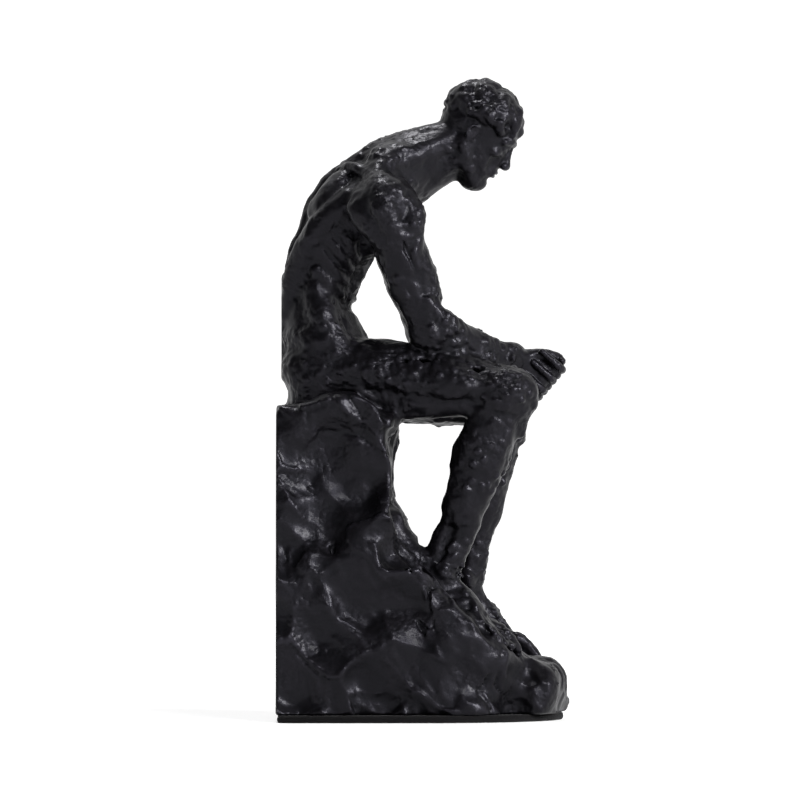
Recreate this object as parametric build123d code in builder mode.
"""Seated figure, deep in thought, on a rough rock: a cast statue with a flat back that also holds up books.

Millimetres, +Z up, and the figure faces +X, so its right side is towards -Y. The origin is the centre of
the footprint, on the surface that the statue stands on. The rock and the figure's sections are separate
castings that meet on seats and are held by dowels.
"""

import os
from math import cos, radians, sin, sqrt, tan

from build123d import *

os.makedirs("parts", exist_ok=True)

RIGHT = -1
LEFT = 1
SIDES = {RIGHT: "right", LEFT: "left"}

# Rock: footprint, the nose where the slope under the feet ends, the seat on top and the wall below it
BASE_DEPTH = 96.0
BASE_WIDTH = 84.0
NOSE_HEIGHT = 10.5
SEAT_DEPTH = 40.0
SEAT_WIDTH = 64.0
FLARE_HEIGHT = 26.0
WALL_UNDERCUT = 4.0
HEEL_GAP = 2.5
HEEL_BANK = 6.0
NOSE_RADIUS = 8.0
NOSE_ROOM_SHARE = 0.95
NOSE_BEVEL = 2.0
# how far down the wall each point lies, and its share of the undercut
WALL_SHARES = ((0.35, 1.0), (0.72, 0.5))
# clay banked up behind the heels: shares of the bank's size ahead of the heel's corner and above the slope
BANK_SHARES = ((0.55, 0.85), (1.60, 0.0))

# Scoops pressed into the rock: places as shares of the depth from the back and of the seat's height
SCOOP_RADIUS = 17.0
SCOOP_DEPTH = 3.6
SIDE_SCOOP_SHARES = (
    (0.10, 0.86, 0.90),
    (0.29, 0.80, 1.05),
    (0.17, 0.62, 1.10),
    (0.37, 0.55, 0.90),
    (0.08, 0.38, 0.95),
    (0.29, 0.33, 1.20),
    (0.50, 0.34, 0.85),
    (0.14, 0.13, 1.10),
    (0.40, 0.12, 1.00),
    (0.62, 0.15, 0.90),
)
# round the nose: turn from straight ahead in degrees, height share and size share
NOSE_SCOOP_SHARES = ((-38.0, 0.10, 0.8), (-12.0, 0.09, 0.7), (14.0, 0.10, 0.8), (40.0, 0.09, 0.75))

# Pad, ballast pocket and plug under the rock
PAD_THICKNESS = 2.4
PAD_INSET = 0.5
POCKET_WALL = 7.0
POCKET_SIDE_WALL = 17.0
POCKET_CORNER = 8.0
PLUG_THICKNESS = 5.0
POCKET_CLEARANCE = 0.3

# Trunk: its length along the spine and its half sizes at the widest
TRUNK_LENGTH = 94.5
TRUNK_SETBACK = 17.0
TRUNK_HALF_BREADTH = 22.0
TRUNK_HALF_DEPTH = 14.0
# share of the length, lean forward in degrees, shares of the half breadth and of the half depth
TRUNK_SHARES = (
    (0.00, 0.0, 1.02, 0.98),
    (0.13, -9.0, 1.10, 1.06),
    (0.28, -6.0, 0.96, 0.94),
    (0.42, 9.0, 0.82, 0.85),
    (0.57, 28.0, 0.95, 0.96),
    (0.73, 41.0, 1.02, 1.02),
    (0.87, 52.0, 0.82, 0.85),
    (1.00, 62.0, 0.48, 0.66),
)
# the same sections' relief, as shares of the outline's reach: furrow of the spine, cords beside it, blades or
# buttocks, breast, and middle of the front; the turns say where these lie, in degrees round from the back
RELIEF_SHARES = (
    (-0.06, 0.00, 0.05, 0.00, 0.00),
    (-0.09, 0.01, 0.06, 0.00, 0.02),
    (-0.10, 0.05, 0.03, 0.02, 0.03),
    (-0.11, 0.07, 0.04, 0.01, -0.02),
    (-0.11, 0.07, 0.06, 0.02, -0.03),
    (-0.10, 0.05, 0.09, 0.07, -0.03),
    (-0.07, 0.04, 0.05, 0.05, -0.03),
    (0.00, 0.00, 0.00, 0.00, 0.00),
)
RELIEF_TURNS = (0.0, 17.0, 40.0, 150.0, 180.0)
PLAIN_TURNS = (70.0, 97.0, 123.0)

# Shoulder girdle
SHOULDER_SPREAD = 26.0
SHOULDER_SEAT = 22.0
SHOULDER_FORWARD = 4.5
SHOULDER_SHARE = 0.80
DELTOID_RADIUS = 10.0
# share of the way out to the seat; shares of the deltoid's radius: forward, up and the two half sizes
GIRDLE_SHARES = (
    (0.0, -0.50, 0.60, 0.95, 0.82),
    (0.5, -0.28, 0.40, 0.98, 0.92),
    (1.0, 0.0, 0.02, 0.92, 0.94),
)

# Neck and head
NECK_LENGTH = 14.0
NECK_LEAN = 62.0
NECK_RADIUS = 8.6
# share of the neck's length, and shares of its radius: backwards, half breadth, half depth
NECK_SHARES = ((0.45, 0.0, 0.96, 0.98), (1.0, 0.0, 0.95, 1.0))
HEAD_HEIGHT = 31.0
HEAD_BOW = 31.0
SKULL_BASE_SHARE = 0.36
SKULL_SETBACK_SHARE = 0.14
# share of the head's height from the chin, and shares of it: forward, half breadth, half depth
HEAD_SHARES = (
    (0.00, 0.24, 0.07, 0.06),
    (0.05, 0.20, 0.15, 0.13),
    (0.22, 0.11, 0.23, 0.25),
    (0.42, 0.04, 0.28, 0.34),
    (0.62, 0.00, 0.30, 0.39),
    (0.80, -0.01, 0.28, 0.36),
    (0.93, -0.02, 0.19, 0.25),
    (1.00, -0.02, 0.06, 0.09),
)
HAIR_THICKNESS = 1.6
HAIR_SETBACK = 2.6
HAIR_SHARES = (
    (0.34, -0.12, 0.22, 0.22),
    (0.48, -0.08, 0.28, 0.30),
    (0.64, -0.02, 0.30, 0.37),
    (0.80, -0.01, 0.28, 0.36),
    (0.93, -0.02, 0.19, 0.25),
    (1.00, -0.02, 0.07, 0.10),
)
NOSE_RADIUS_SHARE = 0.055
# share of the head's height and share of it forward, from the bridge to the tip
NOSE_SHARES = ((0.54, 0.35), (0.36, 0.41))
EAR_RADIUS_SHARE = 0.10
EAR_SHARES = (0.46, -0.04, 0.27)

# Legs: bone lengths, the angles that pose them in degrees, and the flesh on them
HIP_SETBACK = 18.0
HIP_SPREAD = 12.5
HIP_RISE = 12.5
THIGH_LENGTH = 58.0
THIGH_DROP = 8.0
THIGH_SPLAY = 11.0
SHIN_LENGTH = 60.0
SHIN_TUCK = 19.0
SHIN_INWARD = 4.0
LEFT_STRIDE = 9.0
THIGH_RADIUS = 13.0
KNEE_RADIUS = 9.8
SHIN_RADIUS = 8.8
# share of the bone's length, and shares of the radius: to the limb's rear, half breadth, half depth
THIGH_SHARES = (
    (0.00, 0.00, 0.84, 0.84),
    (0.20, 0.02, 1.00, 1.00),
    (0.45, 0.00, 0.95, 0.96),
    (0.72, 0.00, 0.81, 0.83),
    (1.00, 0.00, 0.72, 0.73),
)
SHIN_SHARES = (
    (0.00, 0.00, 1.00, 1.00),
    (0.14, 0.05, 0.95, 1.00),
    (0.32, 0.16, 0.98, 1.06),
    (0.52, 0.10, 0.82, 0.88),
    (0.76, 0.02, 0.56, 0.62),
    (0.92, 0.00, 0.52, 0.60),
    (1.10, 0.00, 0.52, 0.56),
)

# Feet
FOOT_PITCH = 32.0
FOOT_TURN = 9.0
FOOT_LENGTH = 43.0
FOOT_HALF_WIDTH = 7.2
ANKLE_RISE = 11.0
HEEL_SETBACK = 10.0
SOLE_OVERRUN = 1.0
# share of the foot's length, of its half width and of the ankle's rise
FOOT_SHARES = (
    (0.00, 0.40, 0.42),
    (0.10, 0.66, 0.80),
    (0.30, 0.72, 1.00),
    (0.52, 0.82, 0.78),
    (0.72, 1.00, 0.50),
    (0.84, 0.96, 0.38),
)
TOE_RADIUS_SHARE = 0.22
# great toe first: shares of the half width inward, of the foot's length and of the radius
TOE_SHARES = (
    (0.72, 1.00, 1.35),
    (0.27, 0.98, 1.00),
    (-0.12, 0.95, 0.95),
    (-0.48, 0.91, 0.90),
    (-0.80, 0.86, 0.85),
)
TOE_ROOT_SHARE = 0.74

# Arms: they join the shoulders to the hands by way of elbows that rest on the thighs
FOREARM_LENGTH = 32.0
ELBOW_FLESH_SHARE = 0.93
ELBOW_OUTWARD = 14.0
ELBOW_RADIUS = 6.6
ELBOW_SINK = 0.8
UPPER_ARM_RADIUS = 8.4
FOREARM_RADIUS = 6.8
UPPER_ARM_SHARES = (
    (0.00, 0.00, 1.05, 1.08),
    (0.30, 0.00, 1.02, 1.08),
    (0.60, 0.00, 0.90, 0.98),
    (1.00, 0.00, 0.76, 0.80),
)
FOREARM_SHARES = (
    (0.00, 0.00, 0.92, 0.92),
    (0.22, 0.00, 1.00, 1.02),
    (0.52, 0.00, 0.82, 0.84),
    (0.82, 0.00, 0.60, 0.62),
    (1.00, 0.00, 0.56, 0.60),
)

# Hands, clasped in front of the knees
HANDS_REACH = 2.4
HANDS_RISE = 13.5
HANDS_PITCH = 42.0
WRIST_SPREAD = 7.5
PALM_LENGTH = 12.5
PALM_HALF_WIDTH = 8.8
PALM_HALF_THICKNESS = 2.7
FINGER_RADIUS = 1.1
FINGER_GAP = 0.1
FINGERS = 4
PALM_PRESS_SHARE = 0.92
# share of the palm's length and shares of the half thickness and of the half width
PALM_SHARES = ((0.45, 1.15, 0.72), (1.0, 0.95, 1.0))
# along the palm as shares of its length, and across as shares of its half thickness, from root to tip
FINGER_SHARES = ((0.86, -0.8), (1.18, -0.1), (1.06, 1.62), (0.50, 2.05))
FINGER_BEND_SHARE = 1.25
# the thumb, with its height as a share of the palm's half width in the middle place
THUMB_SHARES = ((0.30, 0.42, -1.1), (0.62, 0.86, -0.9), (0.98, 1.12, -0.2))

# Dowels
DOWEL_RADIUS = 1.5
DOWEL_LENGTH = 14.0
WRIST_DOWEL_RADIUS = 0.8
WRIST_DOWEL_LENGTH = 8.0
DOWEL_CLEARANCE = 0.1
SEAT_DOWEL_SPREAD = 9.0

BACK_X = -BASE_DEPTH / 2
FRONT_X = BASE_DEPTH / 2
UP = Vector(0, 0, 1)
ACROSS = Vector(0, 1, 0)


def heading(down: float, left: float = 0.0) -> Vector:
    """Unit vector straight ahead, turned down and to the left by degrees."""
    down, left = radians(down), radians(left)
    return Vector(cos(down) * cos(left), cos(down) * sin(left), -sin(down))


def rising(lean: float) -> Vector:
    """Unit vector straight up, leaning forward by degrees."""
    return Vector(sin(radians(lean)), 0, cos(radians(lean)))


def square_to(axis: Vector, guide: Vector) -> Vector:
    """Unit vector nearest to guide that is square to axis."""
    return (guide - axis * guide.dot(axis)).normalized()


def between(start: Vector, end: Vector, share: float) -> Vector:
    """Point at a share of the way from start to end."""
    return start + (end - start) * share


def limb_planes(start: Vector, end: Vector, rear: Vector, radius: float, shares) -> list:
    """Sections square to a bone, each a plane with its half breadth and half depth."""
    axis = (end - start).normalized()
    rear = square_to(axis, rear)
    found = []
    for along_share, rear_share, breadth_share, depth_share in shares:
        centre = between(start, end, along_share) + rear * (radius * rear_share)
        plane = Plane(centre, x_dir=rear.cross(axis), z_dir=axis)
        found.append((plane, radius * breadth_share, radius * depth_share))
    return found


def lofted(sections: list) -> Part:
    """Solid that runs smoothly through elliptical sections."""
    with BuildPart() as form:
        for plane, half_breadth, half_depth in sections:
            with BuildSketch(plane):
                Ellipse(half_breadth, half_depth)
        loft()
    return form.part


def relief_outline(half_breadth: float, half_depth: float, relief) -> list:
    """Points round a trunk section: the back is first, then one side, the front and the other side."""
    shares = dict.fromkeys(PLAIN_TURNS, 0.0) | dict(zip(RELIEF_TURNS, relief))
    turns = sorted(shares)
    found = []
    for turn in turns + [-turn for turn in reversed(turns[1:-1])]:
        reach = 1 + shares[abs(turn)]
        found.append((half_breadth * reach * sin(radians(turn)), half_depth * reach * cos(radians(turn))))
    return found


def drill(planes: list, radius: float, length: float):
    """Cuts dowel holes, with room for glue, in the part being built."""
    with Locations(*planes):
        Cylinder(radius + DOWEL_CLEARANCE, length + 2 * DOWEL_CLEARANCE, mode=Mode.SUBTRACT)


# Skeleton of the legs: the right foot stands on the slope, and that sets the height of the seat.
# The left foot is a stride further down, and the left knee follows from it.
sole_normal = rising(FOOT_PITCH)
slope = heading(FOOT_PITCH)
sole_height = Vector(FRONT_X, 0, NOSE_HEIGHT).dot(sole_normal)
thigh_reach = heading(THIGH_DROP, -THIGH_SPLAY) * THIGH_LENGTH
leg_reach = thigh_reach + heading(90 + SHIN_TUCK, -SHIN_INWARD) * SHIN_LENGTH
hip_x = BACK_X + HIP_SETBACK
hip_z = (sole_height + ANKLE_RISE - (Vector(hip_x, 0, 0) + leg_reach).dot(sole_normal)) / sole_normal.Z
seat_z = hip_z - HIP_RISE
hips, knees, ankles = {}, {}, {}
for side in SIDES:
    hips[side] = Vector(hip_x, side * HIP_SPREAD, hip_z)
    knees[side] = hips[side] + Vector(thigh_reach.X, -side * thigh_reach.Y, thigh_reach.Z)
    ankles[side] = hips[side] + Vector(leg_reach.X, -side * leg_reach.Y, leg_reach.Z)
ankles[LEFT] = ankles[LEFT] + slope * LEFT_STRIDE
reach = ankles[LEFT] - hips[LEFT]
thigh_run = (reach.length**2 + THIGH_LENGTH**2 - SHIN_LENGTH**2) / (2 * reach.length)
knee_rise = sqrt(THIGH_LENGTH**2 - thigh_run**2)
knee_way = square_to(reach.normalized(), knees[LEFT] - hips[LEFT])
knees[LEFT] = hips[LEFT] + reach.normalized() * thigh_run + knee_way * knee_rise


def sole_z(x: float) -> float:
    """Height of the slope that both soles rest on."""
    return (sole_height - sole_normal.X * x) / sole_normal.Z


# Skeleton of the trunk and head
spine = []
for row, (along_share, lean, breadth_share, depth_share) in enumerate(TRUNK_SHARES):
    if row == 0:
        place = Vector(BACK_X + TRUNK_SETBACK, 0, seat_z)
    else:
        step = TRUNK_LENGTH * (along_share - TRUNK_SHARES[row - 1][0])
        mean_lean = (lean + TRUNK_SHARES[row - 1][1]) / 2
        place = place + rising(mean_lean) * step
    spine.append((along_share, place, rising(lean), breadth_share, depth_share))

neck_base = spine[-1][1]
neck_axis = rising(NECK_LEAN)
skull_base = neck_base + neck_axis * NECK_LENGTH
head_up = rising(HEAD_BOW)
head_front = heading(HEAD_BOW)
head_origin = skull_base + (head_front * SKULL_SETBACK_SHARE - head_up * SKULL_BASE_SHARE) * HEAD_HEIGHT

lower, upper = [pair for pair in zip(spine, spine[1:]) if pair[0][0] <= SHOULDER_SHARE < pair[1][0]][0]
girdle_share = (SHOULDER_SHARE - lower[0]) / (upper[0] - lower[0])
girdle_centre = between(lower[1], upper[1], girdle_share) + ACROSS.cross(upper[2]) * SHOULDER_FORWARD


def head_point(up_share: float, front_share: float, across_share: float = 0.0) -> Vector:
    """Point of the head, from the chin's level on its upright axis, in shares of the head's height."""
    offset = head_up * up_share + head_front * front_share + ACROSS * across_share
    return head_origin + offset * HEAD_HEIGHT


def head_planes(shares, thickness: float = 0.0, setback: float = 0.0) -> list:
    """Level sections of the head, thickened all round and moved back."""
    found = []
    for up_share, front_share, breadth_share, depth_share in shares:
        centre = head_point(up_share, front_share) - head_front * setback + head_up * thickness
        plane = Plane(centre, x_dir=ACROSS, z_dir=head_up)
        half_breadth = HEAD_HEIGHT * breadth_share + thickness
        half_depth = HEAD_HEIGHT * depth_share + thickness
        found.append((plane, half_breadth, half_depth))
    return found


# Skeleton of the arms: each elbow rests on its thigh, a forearm's length behind the wrist
hands_forward = heading(HANDS_PITCH)
hands_up = rising(HANDS_PITCH)
hands_root = (knees[RIGHT] + knees[LEFT]) / 2 + Vector(HANDS_REACH, 0, HANDS_RISE)
shoulders, elbows, wrists = {}, {}, {}
for side in SIDES:
    shoulders[side] = Vector(girdle_centre.X, side * SHOULDER_SPREAD, girdle_centre.Z)
    wrists[side] = hands_root + ACROSS * (side * WRIST_SPREAD)
    thigh_axis = (knees[side] - hips[side]).normalized()
    outward = square_to(thigh_axis, UP + ACROSS * (side * sin(radians(ELBOW_OUTWARD))))
    rest_line = hips[side] + outward * (THIGH_RADIUS * ELBOW_FLESH_SHARE + ELBOW_RADIUS - ELBOW_SINK)
    to_wrist = wrists[side] - rest_line
    along = to_wrist.dot(thigh_axis)
    aside = (to_wrist - thigh_axis * along).length
    elbows[side] = rest_line + thigh_axis * (along - sqrt(FOREARM_LENGTH**2 - aside**2))

# Dowel places: each plane lies on the seat between two castings, square to its dowel
neck_dowel_planes = [Plane(neck_base, z_dir=neck_axis)]
shoulder_dowel_planes, seat_dowel_planes, hip_dowel_planes = [], [], []
wrist_dowel_planes, foot_dowel_planes = [], []
for side in SIDES:
    thigh_axis = (knees[side] - hips[side]).normalized()
    forearm_axis = (wrists[side] - elbows[side]).normalized()
    shoulder_seat = Vector(girdle_centre.X, side * SHOULDER_SEAT, girdle_centre.Z)
    hip_seat = Vector(spine[0][1].X, side * SEAT_DOWEL_SPREAD, seat_z)
    shoulder_dowel_planes.append(Plane(shoulder_seat, z_dir=ACROSS))
    seat_dowel_planes.append(Plane(hip_seat, z_dir=UP))
    hip_dowel_planes.append(Plane(hips[side] + thigh_axis * THIGH_RADIUS, z_dir=thigh_axis))
    wrist_dowel_planes.append(Plane(wrists[side], z_dir=forearm_axis))
    foot_dowel_planes.append(Plane(ankles[side] - sole_normal * ANKLE_RISE, z_dir=sole_normal))

# Rock: the side outline, trimmed to a rounded plan and to sides that lean in towards the seat
heel_x = (ankles[RIGHT] - sole_normal * ANKLE_RISE - slope * HEEL_SETBACK).X - HEEL_GAP
heel_corner = (heel_x, sole_z(heel_x))
seat_edge = (BACK_X + SEAT_DEPTH, seat_z)
nose_corner = (FRONT_X, sole_z(FRONT_X))
bevel_start = (FRONT_X, PAD_THICKNESS + NOSE_BEVEL)
bevel_end = (FRONT_X - NOSE_BEVEL, PAD_THICKNESS)
nose_room = NOSE_ROOM_SHARE * (nose_corner[1] - bevel_start[1]) / tan(radians(45 - FOOT_PITCH / 2))
wall_drop = seat_z - heel_corner[1]
wall_points = [
    (seat_edge[0] - WALL_UNDERCUT * undercut_share, seat_z - wall_drop * drop_share)
    for drop_share, undercut_share in WALL_SHARES
]
bank_points = [
    (heel_x + HEEL_BANK * ahead_share, sole_z(heel_x + HEEL_BANK * ahead_share) + HEEL_BANK * rise_share)
    for ahead_share, rise_share in BANK_SHARES
]


def half_width(z: float) -> float:
    """Half the rock's width at a height: upright sides at the bottom, leaning in above."""
    rise_share = max(0.0, (z - FLARE_HEIGHT) / (seat_z - FLARE_HEIGHT))
    return (BASE_WIDTH + (SEAT_WIDTH - BASE_WIDTH) * rise_share) / 2


def footprint(front_x: float, inset: float = 0.0) -> Sketch:
    """Outline seen from above: square at the back, half an ellipse in front."""
    back_x, half = BACK_X + inset, BASE_WIDTH / 2 - inset
    with BuildSketch() as outline:
        with BuildLine():
            Polyline((0, -half), (back_x, -half), (back_x, half), (0, half))
            EllipticalCenterArc((0, 0), front_x - inset, half, start_angle=-90, arc_size=180)
        make_face()
    return outline.sketch


side_scoops, nose_scoops = [], []
for depth_share, height_share, size_share in SIDE_SCOOP_SHARES:
    radius, bite = SCOOP_RADIUS * size_share, SCOOP_DEPTH * size_share
    z = seat_z * height_share
    for side in SIDES:
        centre = Vector(BACK_X + BASE_DEPTH * depth_share, side * (half_width(z) + radius - bite), z)
        side_scoops.append((centre, radius))
for turn, height_share, size_share in NOSE_SCOOP_SHARES:
    radius, bite = SCOOP_RADIUS * size_share, SCOOP_DEPTH * size_share
    ahead = heading(0, turn)
    rim = Vector(FRONT_X * ahead.X, BASE_WIDTH / 2 * ahead.Y, seat_z * height_share)
    nose_scoops.append((rim + ahead * (radius - bite), radius))

with BuildPart() as rock_form:
    with BuildSketch(Plane.XZ) as side_outline:
        with BuildLine():
            Polyline(bevel_end, (BACK_X, PAD_THICKNESS), (BACK_X, seat_z), seat_edge)
            Spline(seat_edge, *wall_points, *bank_points)
            Polyline(bank_points[-1], nose_corner, bevel_start, bevel_end)
        make_face()
        fillet(side_outline.vertices().sort_by_distance(nose_corner)[0], min(NOSE_RADIUS, nose_room))
    extrude(amount=BASE_WIDTH / 2, both=True)
    with BuildSketch(Plane.XY):
        add(footprint(FRONT_X))
    extrude(amount=seat_z, mode=Mode.INTERSECT)
    with BuildSketch(Plane.YZ):
        with BuildLine():
            Polyline(
                (-BASE_WIDTH / 2, 0),
                (-BASE_WIDTH / 2, FLARE_HEIGHT),
                (-SEAT_WIDTH / 2, seat_z),
                (SEAT_WIDTH / 2, seat_z),
                (BASE_WIDTH / 2, FLARE_HEIGHT),
                (BASE_WIDTH / 2, 0),
                close=True,
            )
        make_face()
    extrude(amount=BASE_DEPTH / 2, both=True, mode=Mode.INTERSECT)
    for centre, radius in side_scoops + nose_scoops:
        with Locations(centre):
            Sphere(radius, mode=Mode.SUBTRACT)


pocket_back = BACK_X + POCKET_WALL
pocket_length = heel_corner[0] - pocket_back
pocket_width = BASE_WIDTH - 2 * POCKET_SIDE_WALL
pocket_height = heel_corner[1] - POCKET_WALL - PAD_THICKNESS


def pocket_outline(clearance: float = 0.0) -> Sketch:
    """Outline of the ballast pocket, or of what fits in it."""
    with BuildSketch() as outline:
        with Locations((pocket_back + pocket_length / 2, 0)):
            RectangleRounded(
                pocket_length - 2 * clearance,
                pocket_width - 2 * clearance,
                POCKET_CORNER - clearance,
            )
    return outline.sketch


with BuildPart() as rock_base:
    add(rock_form.part)
    with BuildSketch(Plane.XY.offset(PAD_THICKNESS)):
        add(pocket_outline())
    extrude(amount=pocket_height, mode=Mode.SUBTRACT)
    drill(seat_dowel_planes + foot_dowel_planes, DOWEL_RADIUS, DOWEL_LENGTH)

# Plug and ballast, one above the other in the pocket
with BuildPart() as filler_plug:
    with BuildSketch(Plane.XY.offset(PAD_THICKNESS)):
        add(pocket_outline(POCKET_CLEARANCE))
    extrude(amount=PLUG_THICKNESS)

with BuildPart() as ballast_block:
    with BuildSketch(Plane.XY.offset(PAD_THICKNESS + PLUG_THICKNESS)):
        add(pocket_outline(POCKET_CLEARANCE))
    extrude(amount=pocket_height - PLUG_THICKNESS - POCKET_CLEARANCE)

# Pad: a sheet cut a little smaller than the rock's underside
with BuildPart() as base_pad:
    with BuildSketch(Plane.XY):
        add(footprint(FRONT_X - NOSE_BEVEL, PAD_INSET))
    extrude(amount=PAD_THICKNESS)

# Torso: trunk and shoulder girdle, flat under the hips where it sits
trunk_sections = []
for _, place, axis, breadth_share, depth_share in spine:
    plane = Plane(place, x_dir=ACROSS, z_dir=axis)
    trunk_sections.append((plane, TRUNK_HALF_BREADTH * breadth_share, TRUNK_HALF_DEPTH * depth_share))
girdle_sections = []
for side in (RIGHT, LEFT):
    rows = GIRDLE_SHARES[::-1] if side == RIGHT else GIRDLE_SHARES[1:]
    for out_share, front_share, up_share, front_half_share, up_half_share in rows:
        centre = girdle_centre + Vector(front_share, 0, up_share) * DELTOID_RADIUS
        centre = Vector(centre.X, side * SHOULDER_SEAT * out_share, centre.Z)
        plane = Plane(centre, x_dir=Vector(1, 0, 0), z_dir=ACROSS)
        girdle_sections.append((plane, DELTOID_RADIUS * front_half_share, DELTOID_RADIUS * up_half_share))
girdle_form = lofted(girdle_sections)

with BuildPart() as torso_form:
    for (plane, half_breadth, half_depth), relief in zip(trunk_sections, RELIEF_SHARES):
        with BuildSketch(plane):
            with BuildLine():
                Spline(*relief_outline(half_breadth, half_depth, relief), periodic=True)
            make_face()
    loft()
    add(girdle_form)

with BuildPart() as torso:
    add(torso_form.part)
    drill(neck_dowel_planes + shoulder_dowel_planes, DOWEL_RADIUS, DOWEL_LENGTH)
    drill(hip_dowel_planes + seat_dowel_planes, DOWEL_RADIUS, DOWEL_LENGTH)

# Head: skull and jaw, a cap of hair, nose and ears, on a neck that seats on the trunk
nape = -ACROSS.cross(neck_axis)
neck_sections = limb_planes(neck_base, head_point(SKULL_BASE_SHARE, 0), nape, NECK_RADIUS, NECK_SHARES)
neck_form = lofted(trunk_sections[-1:] + neck_sections)
skull_form = lofted(head_planes(HEAD_SHARES))
hair_form = lofted(head_planes(HAIR_SHARES, HAIR_THICKNESS, HAIR_SETBACK))
nose_radius = HEAD_HEIGHT * NOSE_RADIUS_SHARE
nose_form = lofted(
    [
        (Plane(head_point(up_share, front_share), x_dir=ACROSS, z_dir=head_up), nose_radius, nose_radius)
        for up_share, front_share in NOSE_SHARES
    ]
)
ear_planes = []
for side in SIDES:
    ear_centre = head_point(EAR_SHARES[0], EAR_SHARES[1], side * EAR_SHARES[2])
    ear_planes.append(Plane(ear_centre, x_dir=head_front, z_dir=ACROSS))

with BuildPart() as head:
    add(neck_form)
    add(skull_form)
    add(hair_form)
    add(nose_form)
    with Locations(*ear_planes):
        Cylinder(HEAD_HEIGHT * EAR_RADIUS_SHARE, HEAD_HEIGHT * EAR_RADIUS_SHARE)
    add(torso_form.part, mode=Mode.SUBTRACT)
    drill(neck_dowel_planes, DOWEL_RADIUS, DOWEL_LENGTH)

# Legs: thigh, knee, shin and foot, each leg in one piece, cut just under the sole and then coped to the rock
legs, leg_forms = {}, {}
for side in SIDES:
    thigh_form = lofted(limb_planes(hips[side], knees[side], -UP, THIGH_RADIUS, THIGH_SHARES))
    shin_form = lofted(limb_planes(knees[side], ankles[side], heading(180), SHIN_RADIUS, SHIN_SHARES))
    foot_axis = square_to(sole_normal, heading(0, side * FOOT_TURN))
    foot_across = foot_axis.cross(sole_normal)
    heel = ankles[side] - sole_normal * ANKLE_RISE - foot_axis * HEEL_SETBACK
    foot_form = lofted(
        [
            (
                Plane(heel + foot_axis * (FOOT_LENGTH * along_share), x_dir=foot_across, z_dir=foot_axis),
                FOOT_HALF_WIDTH * width_share,
                ANKLE_RISE * rise_share,
            )
            for along_share, width_share, rise_share in FOOT_SHARES
        ]
    )
    toe_places = []
    for across_share, reach_share, size_share in TOE_SHARES:
        radius = FOOT_HALF_WIDTH * TOE_RADIUS_SHARE * size_share
        inward = foot_across * (side * FOOT_HALF_WIDTH * across_share)
        root = heel + inward + foot_axis * (FOOT_LENGTH * TOE_ROOT_SHARE) + sole_normal * radius
        tip = heel + inward + foot_axis * (FOOT_LENGTH * reach_share - radius) + sole_normal * (radius / 2)
        toe_places.append((root, tip, radius))
    with BuildPart() as foot:
        add(foot_form)
        for root, tip, radius in toe_places:
            length = (tip - root).length
            with BuildSketch(Plane(root, x_dir=foot_across, z_dir=foot_across.cross(tip - root))):
                with BuildLine():
                    Polyline((0, length + radius), (0, 0), (radius, 0), (radius, length))
                    CenterArc((0, length), radius, start_angle=0, arc_size=90)
                make_face()
            revolve(axis=Axis(root, tip - root))
        sole = Plane(heel - sole_normal * SOLE_OVERRUN, x_dir=foot_axis, z_dir=sole_normal)
        split(bisect_by=sole, keep=Keep.TOP)
    with BuildPart() as leg:
        add(thigh_form)
        add(shin_form)
        with Locations(knees[side]):
            Sphere(KNEE_RADIUS)
        add(foot.part)
        add(torso_form.part, mode=Mode.SUBTRACT)
        add(rock_form.part, mode=Mode.SUBTRACT)
        leg_forms[side] = leg.part
        drill(hip_dowel_planes + foot_dowel_planes, DOWEL_RADIUS, DOWEL_LENGTH)
    legs[side] = leg

# Arms: shoulder, upper arm, elbow and forearm, coped to the trunk and cut square at the wrist
arms = {}
wrist_sections = {}
for side in SIDES:
    upper_arm_form = lofted(
        limb_planes(shoulders[side], elbows[side], heading(180), UPPER_ARM_RADIUS, UPPER_ARM_SHARES)
    )
    forearm_sections = limb_planes(elbows[side], wrists[side], -UP, FOREARM_RADIUS, FOREARM_SHARES)
    wrist_sections[side] = forearm_sections[-1]
    forearm_form = lofted(forearm_sections)
    with BuildPart() as arm:
        add(upper_arm_form)
        add(forearm_form)
        with Locations(shoulders[side]):
            Sphere(DELTOID_RADIUS)
        with Locations(elbows[side]):
            Sphere(ELBOW_RADIUS)
        add(torso_form.part, mode=Mode.SUBTRACT)
        add(leg_forms[side], mode=Mode.SUBTRACT)
        drill(shoulder_dowel_planes, DOWEL_RADIUS, DOWEL_LENGTH)
        drill(wrist_dowel_planes, WRIST_DOWEL_RADIUS, WRIST_DOWEL_LENGTH)
    arms[side] = arm


def hand_point(along_share: float, up: float, across: float) -> Vector:
    """Point of the clasped hands, along the palms by a share of their length, then up and across."""
    return hands_root + hands_forward * (PALM_LENGTH * along_share) + hands_up * up + ACROSS * across


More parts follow.
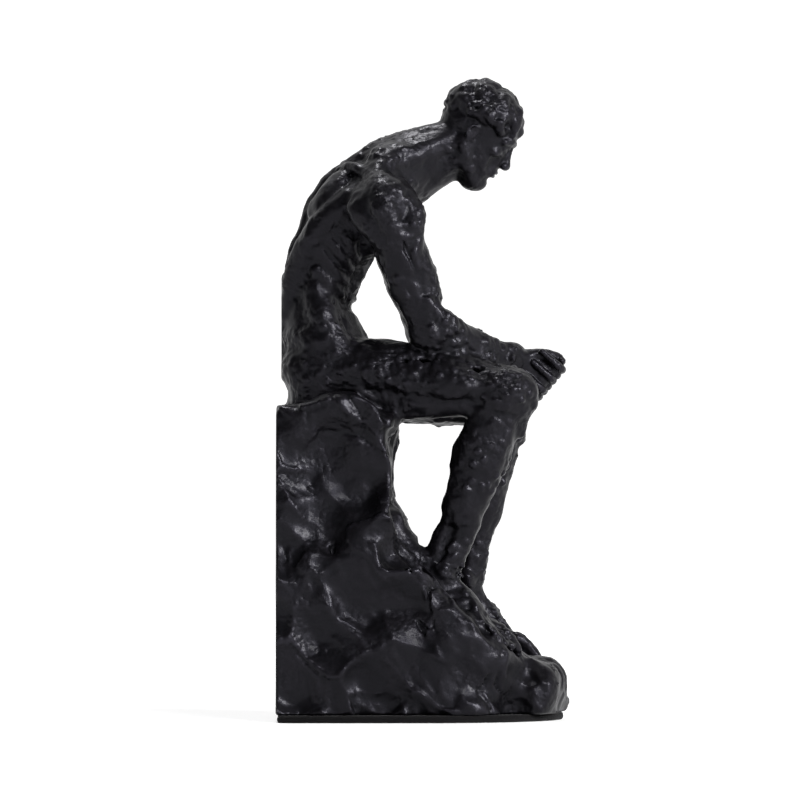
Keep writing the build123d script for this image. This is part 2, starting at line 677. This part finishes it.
# Hands: two palms together, with the fingers laced over each other's backs and the thumbs on top
palm_forms, finger_paths = [], []
for side in SIDES:
    sections = [wrist_sections[side]]
    for along_share, thickness_share, width_share in PALM_SHARES:
        half_thickness = PALM_HALF_THICKNESS * thickness_share
        centre = hand_point(along_share, 0, side * half_thickness * PALM_PRESS_SHARE)
        plane = Plane(centre, x_dir=-ACROSS, z_dir=hands_forward)
        sections.append((plane, half_thickness, PALM_HALF_WIDTH * width_share))
    palm_forms.append(lofted(sections))
    for finger in range(FINGERS):
        up = (2 * finger + 1 - FINGERS + side / 2) * (2 * FINGER_RADIUS + FINGER_GAP)
        finger_paths.append(
            [
                hand_point(along_share, up, -side * PALM_HALF_THICKNESS * across_share)
                for along_share, across_share in FINGER_SHARES
            ]
        )
    finger_paths.append(
        [
            hand_point(along_share, PALM_HALF_WIDTH * up_share, -side * PALM_HALF_THICKNESS * across_share)
            for along_share, up_share, across_share in THUMB_SHARES
        ]
    )

with BuildPart() as clasped_hands:
    for form in palm_forms:
        add(form)
    for points in finger_paths:
        with BuildLine() as finger_line:
            FilletPolyline(*points, radius=FINGER_RADIUS * FINGER_BEND_SHARE)
        with BuildSketch(Plane(points[0], z_dir=points[1] - points[0])):
            Circle(FINGER_RADIUS)
        sweep(path=finger_line.wire())
        with Locations(points[-1]):
            Sphere(FINGER_RADIUS)
    for side in SIDES:
        add(arms[side].part, mode=Mode.SUBTRACT)
    drill(wrist_dowel_planes, WRIST_DOWEL_RADIUS, WRIST_DOWEL_LENGTH)

# Dowels, in pairs but for the neck's
dowel_sets = {
    "neck_dowel": (neck_dowel_planes, DOWEL_RADIUS, DOWEL_LENGTH),
    "shoulder_dowels": (shoulder_dowel_planes, DOWEL_RADIUS, DOWEL_LENGTH),
    "wrist_dowels": (wrist_dowel_planes, WRIST_DOWEL_RADIUS, WRIST_DOWEL_LENGTH),
    "hip_dowels": (hip_dowel_planes, DOWEL_RADIUS, DOWEL_LENGTH),
    "seat_dowels": (seat_dowel_planes, DOWEL_RADIUS, DOWEL_LENGTH),
    "foot_dowels": (foot_dowel_planes, DOWEL_RADIUS, DOWEL_LENGTH),
}
dowels = {}
for name, (planes, radius, length) in dowel_sets.items():
    with BuildPart() as dowel:
        with Locations(*planes):
            Cylinder(radius, length)
    dowels[name] = dowel

# Every piece, under the name that its file takes
pieces = {
    "rock_base": rock_base,
    "filler_plug": filler_plug,
    "ballast_block": ballast_block,
    "base_pad": base_pad,
    "torso": torso,
    "head": head,
    "clasped_hands": clasped_hands,
    **{f"{name}_leg": legs[side] for side, name in SIDES.items()},
    **{f"{name}_arm": arms[side] for side, name in SIDES.items()},
    **dowels,
}
for name, piece in pieces.items():
    piece.part.label = name
    export_step(piece.part, f"parts/{name}.step")
